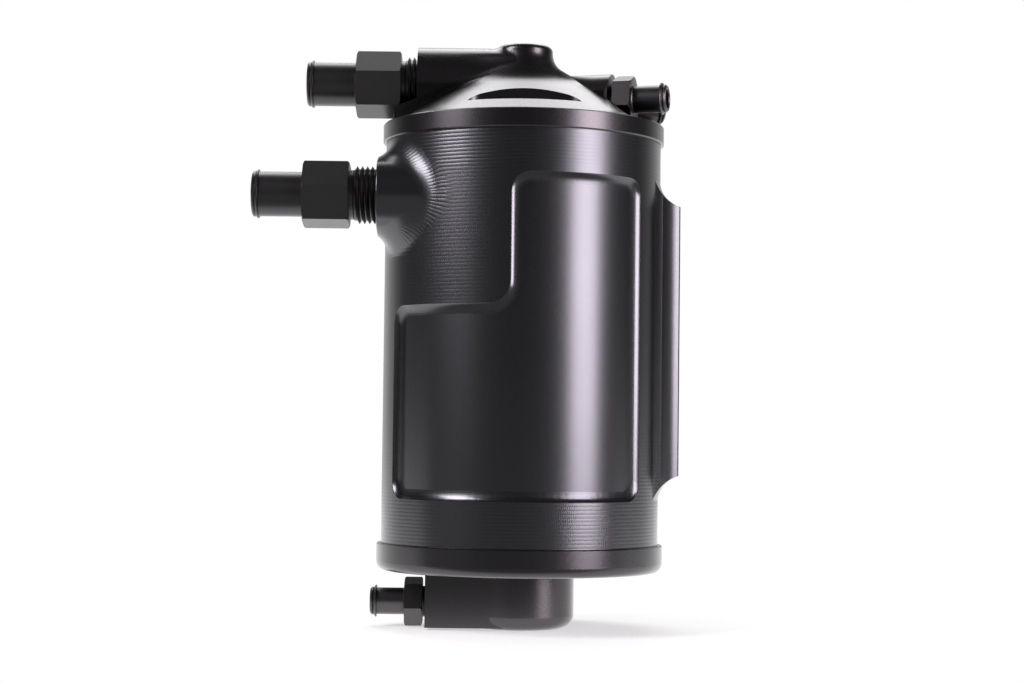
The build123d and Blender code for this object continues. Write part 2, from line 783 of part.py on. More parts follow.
with BuildPart() as splash_plate:
    with BuildSketch(Plane.XZ):
        with BuildLine():
            Polyline(
                (0, base_spigot_end + splash_cone_rise),
                (splash_cone_radius, base_spigot_end),
                (splash_radius, base_spigot_end),
                (splash_radius, base_spigot_end + splash_plate_thickness),
                (splash_cone_radius, base_spigot_end + splash_plate_thickness),
                (0, base_spigot_end + splash_plate_thickness + splash_cone_rise),
                close=True,
            )
        make_face()
    revolve(axis=Axis.Z)
    with BuildSketch(Plane.XY.offset(base_spigot_end)):
        with PolarLocations(splash_hole_ring, splash_hole_count):
            Circle(splash_hole_radius)
        with PolarLocations(splash_screw_ring, splash_screw_count):
            Circle(splash_screw_radius + fit_gap)
    extrude(amount=splash_plate_thickness, mode=Mode.SUBTRACT)

splash_plate.part.label = "splash_plate"
export_step(splash_plate.part, "parts/splash_plate.step")

splash_screw_seat = base_spigot_end + splash_plate_thickness

with BuildPart() as splash_plate_screws:
    with BuildSketch(Plane.XY.offset(splash_screw_seat)):
        with PolarLocations(splash_screw_ring, splash_screw_count):
            Circle(splash_screw_head_radius)
    extrude(amount=splash_screw_head_height)
    with BuildSketch(Plane.XY.offset(splash_screw_seat + splash_screw_head_height)):
        with PolarLocations(splash_screw_ring, splash_screw_count):
            RegularPolygon(splash_screw_socket_flats / 2, 6, major_radius=False)
    extrude(amount=-splash_screw_socket_depth, mode=Mode.SUBTRACT)
    with BuildSketch(Plane.XY.offset(splash_screw_seat)):
        with PolarLocations(splash_screw_ring, splash_screw_count):
            Circle(splash_screw_radius - thread_gap)
    extrude(amount=-splash_plate_thickness - splash_screw_length)

splash_plate_screws.part.label = "splash_plate_screws"
export_step(splash_plate_screws.part, "parts/splash_plate_screws.step")

# Strainer in the mouth of the sump, and the clip that keeps it there
with BuildPart() as sump_strainer:
    with BuildSketch(Plane.XY.offset(strainer_seat)):
        Circle(strainer_seat_radius - fit_gap)
        Circle(strainer_hole_radius, mode=Mode.SUBTRACT)
        with PolarLocations(strainer_hole_ring / 2, strainer_inner_hole_count):
            Circle(strainer_hole_radius, mode=Mode.SUBTRACT)
        with PolarLocations(strainer_hole_ring, strainer_outer_hole_count):
            Circle(strainer_hole_radius, mode=Mode.SUBTRACT)
    extrude(amount=strainer_thickness)

sump_strainer.part.label = "sump_strainer"
export_step(sump_strainer.part, "parts/sump_strainer.step")

with BuildPart() as strainer_clip:
    with BuildSketch(Plane.XY.offset(clip_groove)):
        Circle(clip_groove_radius - fit_gap)
        Circle(clip_groove_radius - clip_width, mode=Mode.SUBTRACT)
        Rectangle(2 * clip_groove_radius, clip_opening, align=(Align.MIN, Align.CENTER), mode=Mode.SUBTRACT)
    extrude(amount=clip_section - seal_gap)

strainer_clip.part.label = "strainer_clip"
export_step(strainer_clip.part, "parts/strainer_clip.step")
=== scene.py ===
import json
import math
from collections import namedtuple

import bpy
from mathutils import Matrix, Vector


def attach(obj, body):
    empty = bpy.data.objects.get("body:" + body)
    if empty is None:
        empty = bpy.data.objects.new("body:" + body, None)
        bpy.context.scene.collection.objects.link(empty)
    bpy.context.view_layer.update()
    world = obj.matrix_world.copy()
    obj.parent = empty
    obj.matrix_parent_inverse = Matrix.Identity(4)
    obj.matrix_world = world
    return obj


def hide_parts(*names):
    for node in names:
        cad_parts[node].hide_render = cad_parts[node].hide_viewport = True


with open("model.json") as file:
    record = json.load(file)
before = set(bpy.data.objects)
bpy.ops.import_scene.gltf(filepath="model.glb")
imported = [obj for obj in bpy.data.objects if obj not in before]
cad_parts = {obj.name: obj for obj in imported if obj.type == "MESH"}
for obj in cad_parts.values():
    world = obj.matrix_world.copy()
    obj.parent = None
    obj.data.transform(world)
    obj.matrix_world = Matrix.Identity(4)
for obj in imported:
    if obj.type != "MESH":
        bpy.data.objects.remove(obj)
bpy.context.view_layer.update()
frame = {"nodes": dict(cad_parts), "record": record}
MM = 0.001

# Camera, fitted to the rims of the cap and the base
CAMERA_PLACE = Vector((-3.47, -801.2, 67.7)) * MM
CAMERA_LENS = 76.27
SENSOR_WIDTH = 36.0
CAMERA_PITCH = math.radians(2.676)
CAMERA_ROLL = math.radians(0.674)

# Studio
FLOOR_RADIUS = 1.6
CONTACT_RADIUS = 0.05
CLEAR_RADIUS = 0.13
CONTACT_SHARE = 0.5
TABLE_FRONT = -0.07
TABLE_GLOW = 1.9
TABLE_DARK = 0.36
TABLE_WHITE = 1.02
TABLE_FADE = (TABLE_FRONT - 0.01, TABLE_FRONT + 0.02)
BACKGROUND_WHITE = 1.0
ROOM_FRONT = 0.095
ROOM_AMBIENT = 0.30

# The can's own sizes that the finishes follow
BODY_RADIUS = 50.8 * MM
PANEL_FLOOR = 48.3 * MM
INLET_AXIS_Y = -25.0 * MM
INLET_AXIS_Z = 156.0 * MM
MILLING_PITCH = 1.303 * MM
RIPPLE_PITCH = 0.8 * MM
PAD_START = 51.0 * MM
COARSE_ROWS_FROM = 164 * MM
BODY_MARK_UNIT = 0.01 * MM  # bump heights on the body are in this unit
ROW_DEPTH = 1.2
COARSE_ROW_DEPTH = 3.4
BOSS_STROKE_PITCH = 1.4 * MM
BOSS_STROKE_DEPTH = 3.4
BOSS_STROKES_FROM = (13.4 * MM, 15.0 * MM)
BOSS_STROKES_TO = (17.0 * MM, 20.0 * MM)
PANEL_WALL = 2.4 * MM
PANEL_WALL_TILT = -0.50
PAD_TILT = -0.36
PANEL_ROUGHNESS = 0.265
PANEL_RIM_ROUGHNESS = 0.20

# Heights on the cap
RING_TOP = (185.2 * MM, 187.0 * MM)
OUTLET_RIDGE_FOOT = (195.0 * MM, 201.5 * MM)
PORT_RIDGE_FOOT = (193.5 * MM, 199.5 * MM)
CENTRE_BOSS_FOOT = (208.5 * MM, 211.5 * MM)
WRENCH_CUT_RADIUS = (33.5 * MM, 34.5 * MM)
FLARE_RADIUS = (16.0 * MM, 29.0 * MM)

# Hose tails in millimetres: neck and thread run inwards from the hexagon, bead and bore back from the tip
Tail = namedtuple(
    "Tail",
    "thread_crest thread_root thread_pitch thread_depth neck relief_radius relief_length hex_flats "
    "hex_length hex_chamfer tail_radius tail_length bead_radius bead_back bead_land groove_length "
    "lip_radius lip_length lip_chamfer bore_radius bore_depth",
)
BREATHER = Tail(
    thread_crest=10.4,
    thread_root=9.25,
    thread_pitch=1.814,
    thread_depth=12.0,
    neck=6.2,
    relief_radius=8.9,
    relief_length=1.6,
    hex_flats=21.6,
    hex_length=16.5,
    hex_chamfer=0.5,
    tail_radius=8.05,
    tail_length=18.2,
    bead_radius=8.75,
    bead_back=2.3,
    bead_land=0.6,
    groove_length=0.3,
    lip_radius=8.2,
    lip_length=0.9,
    lip_chamfer=0.5,
    bore_radius=6.35,
    bore_depth=47.0,
)
INLET = BREATHER._replace(neck=10.0, thread_depth=13.5, bore_depth=58.0)
SMALL = Tail(
    thread_crest=6.55,
    thread_root=5.85,
    thread_pitch=1.337,
    thread_depth=7.6,
    neck=1.4,
    relief_radius=5.6,
    relief_length=1.0,
    hex_flats=15.9,
    hex_length=6.6,
    hex_chamfer=0.4,
    tail_radius=4.9,
    tail_length=12.6,
    bead_radius=5.85,
    bead_back=2.4,
    bead_land=0.6,
    groove_length=0.3,
    lip_radius=5.1,
    lip_length=0.9,
    lip_chamfer=0.6,
    bore_radius=3.5,
    bore_depth=28.0,
)
PORT_REACH = 33.8
PORT_ANGLE = 16.0
PORT_HEIGHT = 193.8
TURNED_SEGMENTS = 96
COLLAR = 0.35
BEAD_EDGE = 0.12
CORE_SMOOTHING = math.radians(32)
THREAD_SMOOTHING = math.radians(40)
INLET_WALL = Vector((-52.4, -25.0, 156.0))
OUTLET_WALL = Vector((-39.4, 0.0, 200.0))
DRAIN_WALL = Vector((-33.8, 0.0, 9.2))


def front_or_rear_port(side):
    """Centre of a heating port's wall in millimetres, and the way its tail points."""
    across = Vector((math.cos(math.radians(PORT_ANGLE)), side * math.sin(math.radians(PORT_ANGLE)), 0))
    return across * PORT_REACH + Vector((0, 0, PORT_HEIGHT)), across


# Modelling of the hose tails


def deselect_all():
    bpy.ops.object.select_all(action="DESELECT")


def only(piece):
    """Make one object the selected and active one."""
    deselect_all()
    piece.select_set(True)
    bpy.context.view_layer.objects.active = piece


def turned(name, profile):
    """Solid of revolution about Z, its profile running from the lower pole's ring to the upper one's."""
    deselect_all()
    radius, height = profile[0]
    bpy.ops.mesh.primitive_circle_add(
        vertices=TURNED_SEGMENTS, radius=radius * MM, fill_type="NGON", location=(0, 0, height * MM)
    )
    piece = bpy.context.object
    piece.name = name
    bpy.ops.object.transform_apply(location=True, rotation=False, scale=False)
    bpy.ops.object.mode_set(mode="EDIT")
    bpy.ops.mesh.select_all(action="SELECT")
    for (radius, height), (next_radius, next_height) in zip(profile, profile[1:]):
        rise = (next_height - height) * MM
        bpy.ops.mesh.extrude_region_move(TRANSFORM_OT_translate={"value": (0, 0, rise)})
        grow = next_radius / radius
        if abs(grow - 1) > 1e-6:
            bpy.ops.transform.resize(value=(grow, grow, 1), center_override=(0, 0, next_height * MM))
    bpy.ops.mesh.select_all(action="SELECT")
    bpy.ops.mesh.normals_make_consistent(inside=False)
    bpy.ops.object.mode_set(mode="OBJECT")
    return piece


def combine(piece, tool, operation):
    """Boolean of a piece with a tool that is then thrown away."""
    only(piece)
    cut = piece.modifiers.new("cut", "BOOLEAN")
    cut.operation = operation
    cut.solver = "MANIFOLD"
    cut.object = tool
    bpy.ops.object.modifier_apply(modifier=cut.name)
    bpy.data.objects.remove(tool)


def chamfered_hexagon(name, size, turn):
    """Hexagon between two chamfers, one corner turned from +X."""
    corner = size.hex_flats / math.sqrt(3)
    face = corner - size.hex_chamfer * math.sqrt(3)
    deselect_all()
    bpy.ops.mesh.primitive_cylinder_add(
        vertices=6,
        radius=corner * MM,
        depth=size.hex_length * MM,
        location=(0, 0, size.hex_length / 2 * MM),
        rotation=(0, 0, math.radians(turn + 30)),
    )
    hexagon = bpy.context.object
    hexagon.name = name
    bpy.ops.object.transform_apply(location=True, rotation=True, scale=False)
    reach = 1.1 * corner
    rounding = turned(
        name + "_rounding",
        [
            (face, 0),
            (corner, size.hex_chamfer),
            (reach, size.hex_chamfer + (reach - corner) / math.sqrt(3)),
            (reach, size.hex_length - size.hex_chamfer - (reach - corner) / math.sqrt(3)),
            (corner, size.hex_length - size.hex_chamfer),
            (face, size.hex_length),
        ],
    )
    combine(hexagon, rounding, "INTERSECT")
    return hexagon


def thread_ridge(name, size):
    """Helical ridge of the pipe thread, a triangle swept by the screw modifier and capped at both ends."""
    start = -size.neck - size.thread_depth
    turns = (size.neck + size.thread_depth - size.relief_length) / size.thread_pitch - 0.75
    half = 0.44 * size.thread_pitch
    sunk = 0.15
    deselect_all()
    bpy.ops.mesh.primitive_circle_add(
        vertices=3,
        radius=MM,
        fill_type="NOTHING",
        location=(size.thread_root * MM, 0, start * MM),
        rotation=(math.pi / 2, 0, 0),
    )
    ridge = bpy.context.object
    ridge.name = name
    bpy.ops.object.transform_apply(location=True, rotation=True, scale=False)
    corners = (
        (size.thread_crest, start + half),
        (size.thread_root - sunk, start),
        (size.thread_root - sunk, start + 2 * half),
    )
    for vertex, (radius, height) in zip(ridge.data.vertices, corners):
        vertex.co = (radius * MM, 0, height * MM)
    screw = ridge.modifiers.new("helix", "SCREW")
    screw.angle = 2 * math.pi * turns
    screw.screw_offset = size.thread_pitch * turns * MM
    screw.steps = screw.render_steps = round(48 * turns)
    screw.use_merge_vertices = False
    only(ridge)
    bpy.ops.object.modifier_apply(modifier=screw.name)
    bpy.ops.object.mode_set(mode="EDIT")
    bpy.ops.mesh.select_all(action="DESELECT")
    bpy.ops.mesh.select_mode(type="EDGE")
    bpy.ops.mesh.select_non_manifold()
    bpy.ops.mesh.fill_holes(sides=3)
    bpy.ops.mesh.select_all(action="SELECT")
    bpy.ops.mesh.normals_make_consistent(inside=False)
    bpy.ops.mesh.select_mode(type="VERT")
    bpy.ops.object.mode_set(mode="OBJECT")
    return ridge


def hose_tail(name, size, wall, points, turn, material):
    """Hose tail with its thread, chamfered hexagon, bead and lip, screwed into a wall."""
    tip = size.hex_length + size.tail_length
    back = -size.neck - size.thread_depth
    core = turned(
        name,
        [
            (size.thread_root - 0.6, back),
            (size.thread_root, back + 0.6),
            (size.thread_root, -size.relief_length - 0.4),
            (size.relief_radius, -size.relief_length),
            (size.relief_radius, 0.4),
            (size.tail_radius + COLLAR, size.hex_length - 0.5),
            (size.tail_radius + COLLAR, size.hex_length + 0.05),
            (size.tail_radius, size.hex_length + 0.4),
            (size.tail_radius, tip - size.bead_back - BEAD_EDGE),
            (size.bead_radius - BEAD_EDGE, tip - size.bead_back),
            (size.bead_radius, tip - size.bead_back + BEAD_EDGE),
            (size.bead_radius, tip - size.bead_back + size.bead_land - BEAD_EDGE),
            (size.bead_radius - BEAD_EDGE, tip - size.bead_back + size.bead_land),
            (size.tail_radius, tip - size.lip_length - size.groove_length),
            (size.lip_radius, tip - size.lip_length),
            (size.lip_radius, tip - size.lip_chamfer),
            (size.lip_radius - size.lip_chamfer, tip),
        ],
    )
    combine(core, chamfered_hexagon(name + "_hexagon", size, turn), "UNION")
    bore = turned(
        name + "_bore",
        [
            (size.bore_radius - 0.8, tip - size.bore_depth),
            (size.bore_radius, tip - size.bore_depth + 0.8),
            (size.bore_radius, tip - 0.35),
            (size.bore_radius + 0.9, tip + 0.55),
        ],
    )
    combine(core, bore, "DIFFERENCE")
    only(core)
    bpy.ops.object.shade_smooth_by_angle(angle=CORE_SMOOTHING)
    ridge = thread_ridge(name + "_thread", size)
    only(ridge)
    bpy.ops.object.shade_smooth_by_angle(angle=THREAD_SMOOTHING)
    ridge.select_set(True)
    core.select_set(True)
    bpy.context.view_layer.objects.active = core
    bpy.ops.object.join()
    up = Vector((0, 0, 1))
    across = points.cross(up)
    turn_to_wall = Matrix((up, across, points)).transposed().to_4x4()
    seat = (wall + points * size.neck) * MM
    core.matrix_world = Matrix.Translation(seat) @ turn_to_wall
    only(core)
    bpy.ops.object.transform_apply(location=True, rotation=True, scale=True)
    core.data.materials.clear()
    core.data.materials.append(material)
    for face in core.data.polygons:
        face.material_index = 0
    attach(core, "root")
    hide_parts(name)


# Finishes of the metal, the mesh and the seals


class Wiring:
    """Short hand for the nodes of one material."""

    def __init__(self, name):
        self.material = bpy.data.materials.new(name)
        self.material.use_nodes = True
        self.tree = self.material.node_tree
        self.tree.nodes.clear()
        self.output = self.node("OutputMaterial")
        self.place = self.node("TexCoord").outputs["Object"]

    def node(self, kind, **settings):
        made = self.tree.nodes.new("ShaderNode" + kind)
        for key, value in settings.items():
            setattr(made, key, value)
        return made

    def feed(self, socket, value):
        if isinstance(value, bpy.types.NodeSocket):
            self.tree.links.new(value, socket)
        else:
            socket.default_value = value

    def math(self, operation, a, b=0.0):
        made = self.node("Math", operation=operation)
        self.feed(made.inputs[0], a)
        self.feed(made.inputs[1], b)
        return made.outputs[0]

    def times(self, a, b):
        return self.math("MULTIPLY", a, b)

    def plus(self, a, b):
        return self.math("ADD", a, b)

    def minus(self, a, b):
        return self.math("SUBTRACT", a, b)

    def over(self, a, b):
        return self.math("DIVIDE", a, b)

    def distance(self, a, b):
        """Length of two offsets at right angles."""
        return self.math("SQRT", self.plus(self.times(a, a), self.times(b, b)))

    def axes(self):
        """X, Y and Z of the object coordinates."""
        split = self.node("SeparateXYZ")
        self.feed(split.inputs[0], self.place)
        return split.outputs

    def ramp(self, value, low, high, to_low=0.0, to_high=1.0):
        """Smooth change from one value to another between two limits."""
        made = self.node("MapRange", interpolation_type="SMOOTHSTEP")
        self.feed(made.inputs["Value"], value)
        made.inputs["From Min"].default_value = low
        made.inputs["From Max"].default_value = high
        made.inputs["To Min"].default_value = to_low
        made.inputs["To Max"].default_value = to_high
        return made.outputs[0]

    def noise(self, scale, detail=2.0, stretch=None, roughness=0.5):
        made = self.node("TexNoise")
        made.inputs["Scale"].default_value = scale
        made.inputs["Detail"].default_value = detail
        made.inputs["Roughness"].default_value = roughness
        where = self.place
        if stretch:
            turn = self.node("Mapping")
            turn.inputs["Scale"].default_value = stretch
            self.feed(turn.inputs["Vector"], where)
            where = turn.outputs[0]
        self.feed(made.inputs["Vector"], where)
        return made.outputs["Fac"]

    def blend(self, share, first, second):
        """Mix of two colours."""
        made = self.node("Mix", data_type="RGBA")
        self.feed(made.inputs["Factor"], share)
        made.inputs[6].default_value = (*first, 1)
        made.inputs[7].default_value = (*second, 1)
        return made.outputs[2]

    def scallops(self, along, pitch):
        """Rows of shallow cutter marks: 0 at the cusps, 1 in the middle of a row."""
        part = self.math("FRACT", self.over(along, pitch))
        centred = self.minus(part, 0.5)
        return self.minus(1.0, self.times(self.times(centred, centred), 4.0))

    def leaned(self, vector, push):
        """A surface direction leaned over by a push."""
        leaning = self.node("VectorMath", operation="ADD")
        self.feed(leaning.inputs[0], vector)
        self.feed(leaning.inputs[1], push)
        evened = self.node("VectorMath", operation="NORMALIZE")
        self.feed(evened.inputs[0], leaning.outputs[0])
        return evened.outputs[0]

    def finish(self, colour, roughness, height, depth, metallic=1.0, normal=None):
        shader = self.node("BsdfPrincipled")
        shader.inputs["Metallic"].default_value = metallic
        self.feed(shader.inputs["Base Color"], colour)
        self.feed(shader.inputs["Roughness"], roughness)
        bump = self.node("Bump")
        bump.inputs["Distance"].default_value = depth
        self.feed(bump.inputs["Height"], height)
        if normal:
            self.feed(bump.inputs["Normal"], normal)
        self.feed(shader.inputs["Normal"], bump.outputs[0])
        self.feed(self.output.inputs["Surface"], shader.outputs[0])
        return self.material


def milled_body():
    """Black anodised body: rows of cutter marks, strokes fanned round the inlet boss, a satin panel floor."""
    w = Wiring("milled_black_anodise")
    x, y, z = w.axes()
    radius = w.distance(x, y)
    around = w.times(w.math("ARCTAN2", y, x), BODY_RADIUS)
    # rows of cutter marks, deeper in the band under the cap, with chevrons where the cutter rippled
    row = w.over(z, MILLING_PITCH)
    off_centre = w.minus(w.math("FRACT", row), 0.5)
    bow = w.times(w.times(off_centre, off_centre), 4.0)
    deep = w.ramp(z, COARSE_ROWS_FROM - 3 * MM, COARSE_ROWS_FROM + 3 * MM, ROW_DEPTH, COARSE_ROW_DEPTH)
    rows = w.times(w.minus(1.0, bow), deep)
    drift = w.times(w.noise(55, 1.0, stretch=(0.1, 0.1, 1.0)), 6.0)
    chevrons = w.plus(drift, w.times(bow, 0.45))
    steps = w.plus(w.over(around, RIPPLE_PITCH), chevrons)
    patches = w.ramp(w.noise(70, 1.0), 0.40, 0.62, 0.15, 0.5)
    ripple = w.times(w.math("SINE", w.times(steps, 2 * math.pi)), patches)
    marks = w.plus(rows, ripple)
    # strokes that fan out round the inlet boss
    from_y = w.minus(y, INLET_AXIS_Y)
    from_z = w.minus(z, INLET_AXIS_Z)
    reach = w.distance(from_y, from_z)
    boss_side = w.ramp(x, -26 * MM, -18 * MM, 1.0, 0.0)
    near_boss = w.times(w.ramp(reach, *BOSS_STROKES_TO, 1.0, 0.0), boss_side)
    swing = w.times(w.math("ARCTAN2", from_z, from_y), 18 * MM)
    wander = w.times(w.noise(150, 2.0), 1.2 * MM)
    strokes = w.scallops(w.plus(swing, wander), BOSS_STROKE_PITCH)
    clear_of_port = w.times(w.ramp(reach, *BOSS_STROKES_FROM), BOSS_STROKE_DEPTH)
    mixed = w.node("Mix", data_type="FLOAT")
    w.feed(mixed.inputs["Factor"], near_boss)
    w.feed(mixed.inputs[2], marks)
    w.feed(mixed.inputs[3], w.times(strokes, clear_of_port))
    # no rows on the panel's floor and the pad
    outside = w.ramp(radius, PANEL_FLOOR + 2.1 * MM, PANEL_FLOOR + PANEL_WALL)
    off_pad = w.ramp(x, 51.2 * MM, 52.0 * MM, 1.0, 0.0)
    coarse = w.times(mixed.outputs[0], w.times(outside, off_pad))
    grain = w.times(w.noise(4200, 3.0), 0.18)
    # softer slopes up to the panel's rim and up to the pad's edge
    wall = w.math("MINIMUM", w.math("MAXIMUM", w.minus(radius, PANEL_FLOOR), 0.0), PANEL_WALL)
    wall = w.times(wall, PANEL_WALL_TILT / BODY_MARK_UNIT)
    pad = w.times(w.math("MAXIMUM", w.minus(x, PAD_START), 0.0), PAD_TILT / BODY_MARK_UNIT)
    height = w.plus(w.plus(coarse, grain), w.plus(wall, pad))
    cloud = w.noise(26, 3.0)
    colour = w.blend(cloud, (0.070, 0.070, 0.076), (0.082, 0.082, 0.088))
    above_floor = w.ramp(radius, PANEL_FLOOR + 0.25 * MM, PANEL_FLOOR + 0.9 * MM)
    under_rim = w.ramp(radius, PANEL_FLOOR + 2.2 * MM, PANEL_FLOOR + PANEL_WALL, 1.0, 0.0)
    smoother = w.ramp(w.times(above_floor, under_rim), 0, 1, PANEL_ROUGHNESS, PANEL_RIM_ROUGHNESS)
    roughness = w.plus(w.times(w.noise(900, 3.0), 0.05), smoother)
    return w.finish(colour, roughness, height, BODY_MARK_UNIT)


def blasted_cap():
    """Black anodised cap and base: fine sparkle, and soft hollows at the foot of the ridges and the boss."""
    w = Wiring("blasted_black_anodise")
    x, y, z = w.axes()
    radius = w.distance(x, y)
    surface = w.node("NewGeometry").outputs["Normal"]
    split = w.node("SeparateXYZ")
    w.feed(split.inputs[0], surface)
    above_ring = w.ramp(z, *RING_TOP)
    facing_up = split.outputs["Z"]
    # the foot of the ridges turns upwards, clear of the wrench cuts and the front shelf
    steep = w.times(w.ramp(facing_up, 0.2, 0.84, 1.0, 0.0), above_ring)
    by_outlet = w.times(w.ramp(x, -10 * MM, -4 * MM, 1.0, 0.0), w.ramp(z, *OUTLET_RIDGE_FOOT, 1.9, 0.0))
    by_ports = w.times(w.ramp(x, 12 * MM, 18 * MM), w.ramp(z, *PORT_RIDGE_FOOT, 1.5, 0.0))
    inside_wrench = w.ramp(radius, *WRENCH_CUT_RADIUS, 1.0, 0.0)
    lift = w.times(steep, w.plus(by_outlet, w.times(by_ports, inside_wrench)))
    behind_shelf = w.ramp(y, -30 * MM, -29 * MM)
    lift = w.times(lift, behind_shelf)
    # the dome steepens towards the centre boss
    flare = w.times(w.ramp(radius, *FLARE_RADIUS, 0.9, 0.0), w.ramp(z, *CENTRE_BOSS_FOOT, 1.0, 0.0))
    flare = w.times(flare, w.times(above_ring, w.ramp(facing_up, 0.3, 0.8)))
    outward = w.over(flare, w.math("MAXIMUM", radius, MM))
    # beside the ridges the dome leans only to the front and the back, as a wider blend would
    beside = w.math("MAXIMUM", w.ramp(x, -24 * MM, -10 * MM, 1.0, 0.0), w.ramp(x, 12 * MM, 24 * MM))
    beside = w.times(w.times(beside, above_ring), w.ramp(facing_up, 0.55, 0.75, 0.0, 0.85))
    straighten = w.times(split.outputs["X"], w.times(beside, -1.0))
    push = w.node("CombineXYZ")
    w.feed(push.inputs[0], w.plus(w.times(x, outward), straighten))
    w.feed(push.inputs[1], w.times(y, outward))
    w.feed(push.inputs[2], lift)
    sparkle = w.noise(2600, 2.0, roughness=0.7)
    cloud = w.noise(30, 3.0)
    colour = w.blend(cloud, (0.050, 0.047, 0.050), (0.062, 0.058, 0.062))
    roughness = w.plus(w.times(w.noise(1500, 3.0), 0.10), 0.24)
    rows = w.times(w.scallops(z, 0.55 * MM), above_ring)
    height = w.plus(sparkle, w.times(rows, 0.35))
    return w.finish(colour, roughness, height, 0.006 * MM, normal=w.leaned(surface, push.outputs[0]))


def turned_fitting():
    """Matt black anodised hose tails with fine turning rings."""
    w = Wiring("turned_black_anodise")
    x, y, z = w.axes()
    rings = w.scallops(x, 0.25 * MM)
    grain = w.noise(3800, 2.0)
    height = w.plus(w.times(rings, 0.25), w.times(grain, 0.5))
    colour = w.blend(w.noise(120, 3.0), (0.052, 0.050, 0.052), (0.064, 0.061, 0.063))
    roughness = w.plus(w.times(w.noise(700, 3.0), 0.08), 0.34)
    return w.finish(colour, roughness, height, 0.004 * MM)


def bare_aluminium():
    w = Wiring("bare_turned_aluminium")
    x, y, z = w.axes()
    rings = w.scallops(w.distance(x, y), 0.4 * MM)
    colour = w.blend(w.noise(80, 3.0), (0.68, 0.68, 0.69), (0.76, 0.76, 0.77))
    roughness = w.plus(w.times(w.noise(400, 2.0), 0.1), 0.3)
    return w.finish(colour, roughness, rings, 0.003 * MM)


def knitted_wire():
    w = Wiring("knitted_wire")
    x, y, z = w.axes()
    angle = w.times(w.math("ARCTAN2", y, x), 60.0)
    up = w.times(z, 2600.0)
    wave = w.math("SINE", up)
    loops = w.times(w.math("SINE", w.plus(angle, w.times(wave, 1.2))), wave)
    holes = w.ramp(loops, -0.4, 0.4)
    # painted shade: the gaps between the wires are coloured dark, the wires keep their pale steel colour
    colour = w.blend(holes, (0.10, 0.10, 0.10), (0.66, 0.66, 0.67))
    return w.finish(colour, w.ramp(holes, 0, 1, 0.6, 0.35), loops, 0.3 * MM)


def zinc_steel():
    w = Wiring("zinc_plated_steel")
    colour = w.blend(w.noise(200, 3.0), (0.54, 0.54, 0.56), (0.62, 0.62, 0.64))
    roughness = w.plus(w.times(w.noise(600, 2.0), 0.12), 0.28)
    return w.finish(colour, roughness, w.noise(2500, 2.0), 0.003 * MM)


def seal_rubber():
    w = Wiring("seal_rubber")
    colour = w.blend(w.noise(300, 2.0), (0.016, 0.016, 0.016), (0.024, 0.024, 0.024))
    roughness = w.ramp(w.noise(900, 2.0), 0.2, 0.8, 0.45, 0.6)
    return w.finish(colour, roughness, w.noise(3000, 2.0), 0.002 * MM, metallic=0.0)


# Camera, surroundings, table and lamps


def make_camera():
    """Camera at the photograph's viewing angle."""
    forward = Vector((0, math.cos(CAMERA_PITCH), math.sin(CAMERA_PITCH)))
    up = Vector((0, -math.sin(CAMERA_PITCH), math.cos(CAMERA_PITCH)))
    right = Vector((1, 0, 0))
    rolled_right = math.cos(CAMERA_ROLL) * right + math.sin(CAMERA_ROLL) * up
    rolled_up = math.cos(CAMERA_ROLL) * up - math.sin(CAMERA_ROLL) * right
    turn = Matrix((rolled_right, rolled_up, -forward)).transposed()
    data = bpy.data.cameras.new("camera")
    data.lens = CAMERA_LENS
    data.sensor_width = SENSOR_WIDTH
    data.clip_start = 0.01
    data.clip_end = 20.0
    camera = bpy.data.objects.new("camera", data)
    camera.matrix_world = Matrix.Translation(CAMERA_PLACE) @ turn.to_4x4()
    bpy.context.scene.collection.objects.link(camera)
    bpy.context.scene.camera = camera


def softbox(name, azimuth, elevation, distance, width, height, radiance, colour=(1, 1, 1)):
    """Rectangular lamp aimed at the can's middle; azimuth 0 is the photograph's side, 90 is +X."""
    target = Vector((0, 0, 0.108))
    a = math.radians(azimuth)
    e = math.radians(elevation)
    towards = Vector((math.sin(a) * math.cos(e), -math.cos(a) * math.cos(e), math.sin(e)))
    data = bpy.data.lights.new(name, "AREA")
    data.shape = "RECTANGLE"
    data.size = width
    data.size_y = height
    data.energy = radiance * math.pi * width * height
    data.color = colour
    lamp = bpy.data.objects.new(name, data)
    lamp.location = target + towards * distance
    lamp.rotation_mode = "QUATERNION"
    lamp.rotation_quaternion = towards.to_track_quat("Z", "Y")
    lamp.visible_camera = False
    bpy.context.scene.collection.objects.link(lamp)


